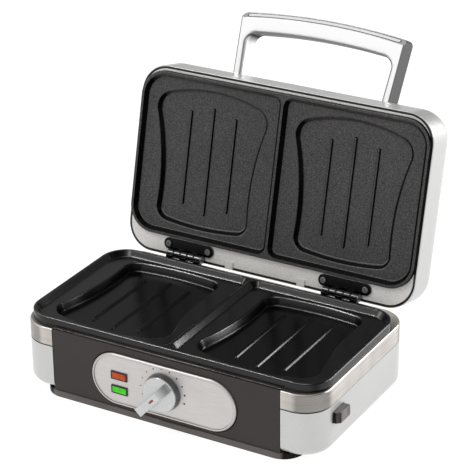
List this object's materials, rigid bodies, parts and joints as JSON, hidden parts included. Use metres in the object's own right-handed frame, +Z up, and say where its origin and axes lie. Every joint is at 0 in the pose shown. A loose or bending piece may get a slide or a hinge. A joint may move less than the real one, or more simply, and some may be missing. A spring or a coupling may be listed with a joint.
{
  "type": "sandwich maker",
  "caption": "Sandwich maker with a hinged lid, a loop handle, non-stick plates with toast-shaped recesses, a front dial with lamps, and plate release buttons.",
  "frame": {"origin": "under the middle of the base's width and depth, on the surface it stands on", "axes": "+X to the right-hand side seen from the front, +Y to the hinge side, +Z up"},
  "size_m": [0.313, 0.3331, 0.279],
  "materials": {
    "silver_housing": "silver paint",
    "silver_handle": "silver paint",
    "chrome_trim": "polished",
    "stainless": "brushed",
    "aluminised_steel": "matt, speckled",
    "black_plastic": "fine grain",
    "panel_plastic": "satin",
    "knob_plastic": "satin silver paint",
    "red_mark": "gloss",
    "red_lens": "clear tinted",
    "green_lens": "clear tinted",
    "non_stick": "non-stick coating, speckled",
    "heater_sheath": "oxidised",
    "black_hinge": "gloss black",
    "plated_steel": "zinc plated",
    "ceramic_white": "matt",
    "brass": "turned"
  },
  "bodies": {
    "base": {"base_button_guide": "black_plastic", "base_shell": "silver_housing", "bottom_screws": "plated_steel", "bottom_tray": "black_plastic", "control_plate": "stainless", "cord_gland": "black_plastic", "front_panel": "panel_plastic", "hinge_base_leaf_left": "black_hinge", "hinge_base_leaf_right": "black_hinge", "hinge_base_screws": "plated_steel", "hinge_pin_left": "plated_steel", "hinge_pin_right": "plated_steel", "lamp_bezels": "black_plastic", "lamp_holders": "ceramic_white", "lower_heating_element": "heater_sheath", "lower_plate": "non_stick", "lower_reflector": "aluminised_steel", "power_lamp_lens": "red_lens", "ready_lamp_lens": "green_lens", "terminal_block": "ceramic_white", "thermostat_body": "ceramic_white", "thermostat_nut": "plated_steel", "top_frame": "stainless"},
    "lid": {"handle": "silver_handle", "handle_screws": "plated_steel", "handle_trim": "chrome_trim", "hinge_lid_leaf_left": "black_hinge", "hinge_lid_leaf_right": "black_hinge", "hinge_lid_screws": "plated_steel", "lid_button_guide": "black_plastic", "lid_inner_pan": "aluminised_steel", "lid_shell": "silver_housing", "upper_heating_element": "heater_sheath", "upper_plate": "non_stick"},
    "knob": {"temperature_knob": "knob_plastic", "knob_mark": "red_mark", "thermostat_shaft": "brass"},
    "base_button": {"base_release_button": "black_plastic"},
    "lid_button": {"lid_release_button": "black_plastic"}
  },
  "joints": [
    {"name": "lid_hinge", "type": "hinge", "parent": "base", "child": "lid", "pos_m": [0, 0.0861, 0.0708], "axis": [1, 0, 0], "range_deg": [0, 103.6]},
    {"name": "temperature_dial", "type": "hinge", "parent": "base", "child": "knob", "pos_m": [0, -0.08775, 0.034], "axis": [0, 1, 0], "range_deg": [0, 270]},
    {"name": "base_release_press", "type": "slide", "parent": "base", "child": "base_button", "axis": [-1, 0, 0], "range_m": [0, 0.0035], "stiffness_N_per_m": 400},
    {"name": "lid_release_press", "type": "slide", "parent": "lid", "child": "lid_button", "axis": [1, 0, 0], "range_m": [0, 0.0035], "stiffness_N_per_m": 400}
  ]
}
